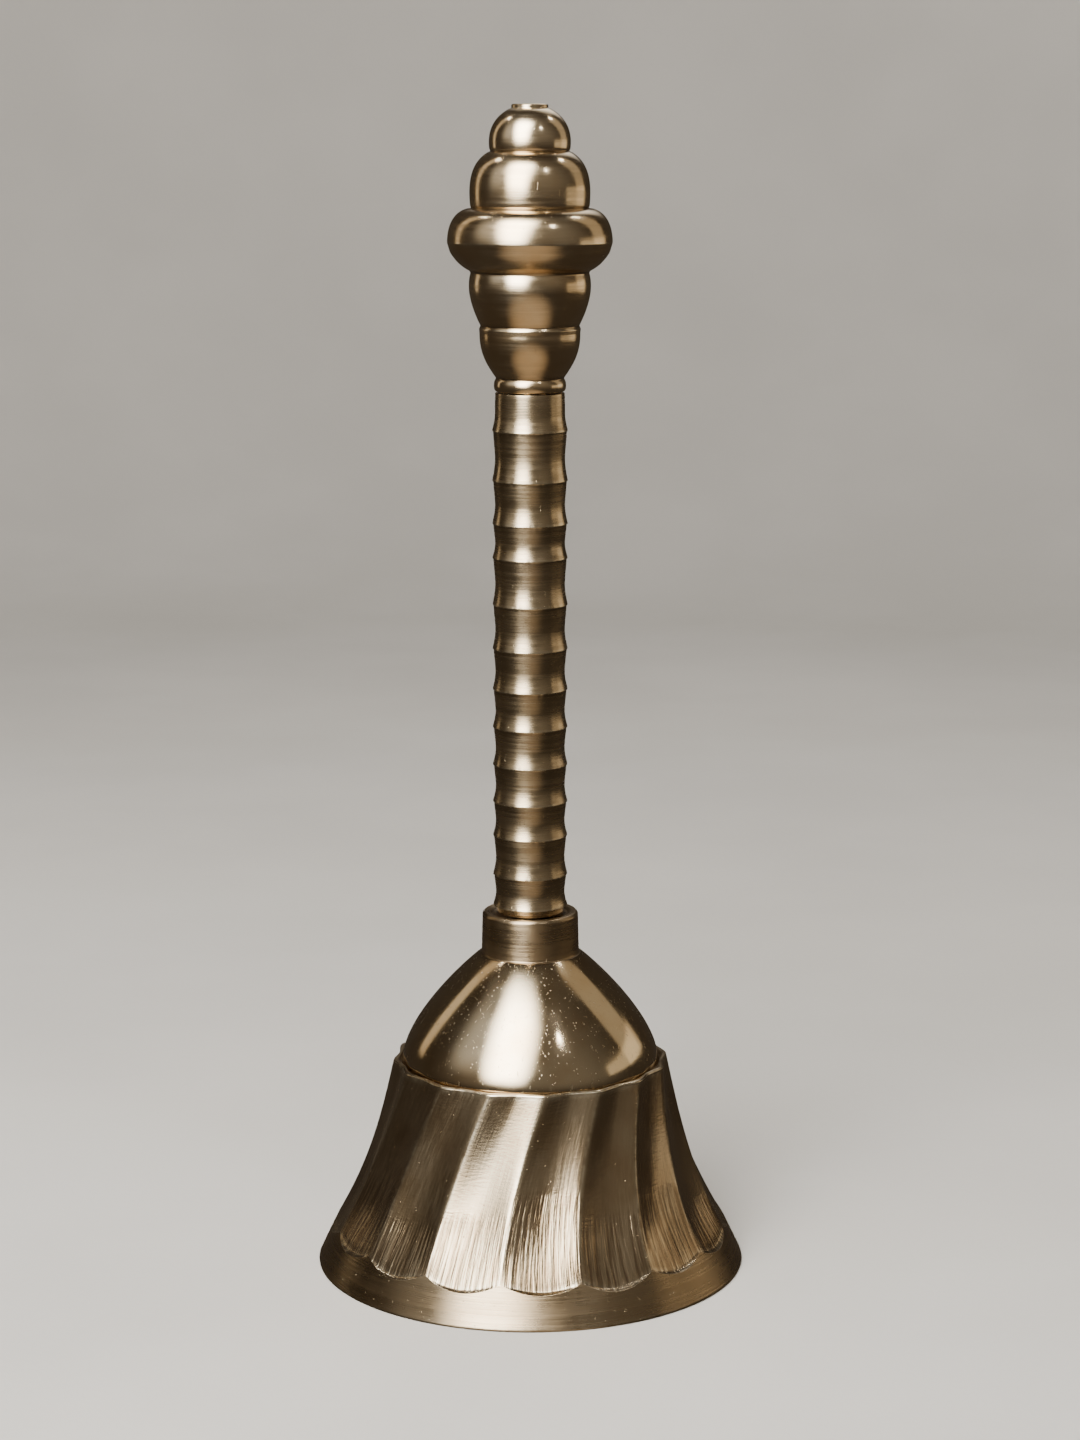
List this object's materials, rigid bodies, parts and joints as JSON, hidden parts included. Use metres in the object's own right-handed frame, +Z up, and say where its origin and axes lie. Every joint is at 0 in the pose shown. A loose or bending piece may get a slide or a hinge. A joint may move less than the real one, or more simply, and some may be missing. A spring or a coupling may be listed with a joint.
{
  "type": "hand bell",
  "caption": "Turned brass hand bell: fluted bell cup on a long ringed handle with a stacked finial knob, and a ball clapper hanging on a wire link inside.",
  "frame": {"origin": "centre of the mouth, on the plane of the rim that the bell stands on", "axes": "+Z up along the bell's axis towards the finial; -Y is the side seen in the picture"},
  "size_m": [0.0522, 0.0522, 0.14],
  "materials": {
    "cup_brass": "polished dome, lengthwise polishing marks in the flutes, fine lathe marks on the collar and lip",
    "handle_brass": "satin turned",
    "finial_brass": "satin turned, lightly polished",
    "hanger_brass": "dull, unpolished",
    "clapper_wire": "dull drawn wire",
    "clapper_brass": "as turned, slightly darkened"
  },
  "bodies": {
    "bell": {"bell_cup": "cup_brass", "handle_grip": "handle_brass", "finial_knob": "finial_brass", "eye_bolt": "hanger_brass", "crown_washer": "hanger_brass", "crown_nut": "hanger_brass"},
    "link": {"clapper_link": "clapper_wire"},
    "clapper": {"clapper_rod": "clapper_wire", "clapper_ball": "clapper_brass"}
  },
  "joints": [
    {"name": "link_swing", "type": "hinge", "parent": "bell", "child": "link", "pos_m": [0, 0, 0.0276], "axis": [1, 0, 0], "range_deg": [-10, 10]},
    {"name": "clapper_swing", "type": "hinge", "parent": "link", "child": "clapper", "pos_m": [0, 0, 0.024], "axis": [0, 1, 0], "range_deg": [-43, 43]}
  ]
}
